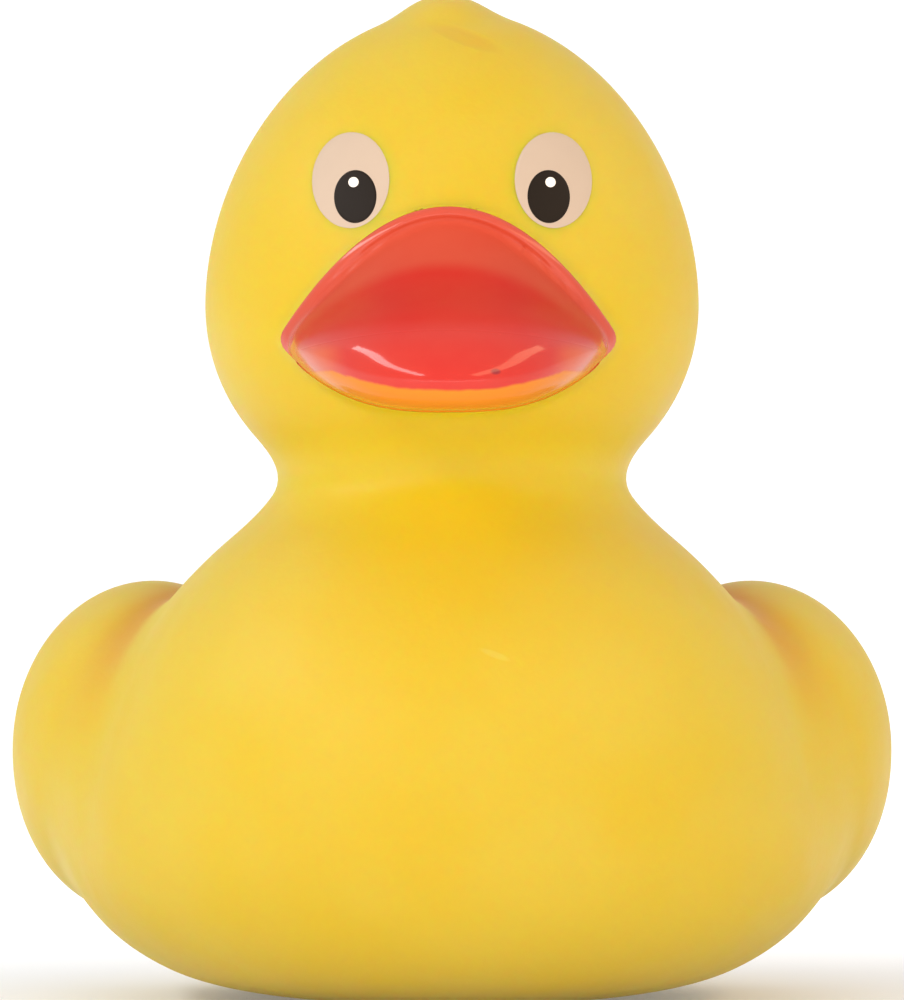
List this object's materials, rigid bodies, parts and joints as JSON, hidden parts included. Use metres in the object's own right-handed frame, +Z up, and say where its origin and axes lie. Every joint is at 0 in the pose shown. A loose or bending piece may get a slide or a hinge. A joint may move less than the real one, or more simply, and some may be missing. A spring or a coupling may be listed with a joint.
{
  "type": "rubber duck",
  "caption": "Hollow soft vinyl bath duck with a broad red bill, folded wings and an upturned tail, moulded as one shell; it stands on a flat base.",
  "frame": {"origin": "On the ground, under the middle of the duck's box", "axes": "+Z up, the bill points along -Y, +Y is the tail's side and +X the duck's left hand side as it looks along -Y"},
  "size_m": [0.0758, 0.0916, 0.085],
  "materials": {
    "vinyl_yellow": "satin moulded soft vinyl",
    "beak_red": "glossy sprayed paint",
    "eye_white": "satin pad-printed paint",
    "eye_black": "glossy pad-printed paint"
  },
  "bodies": {
    "root": {"duck_shell": "vinyl_yellow"}
  },
  "joints": []
}
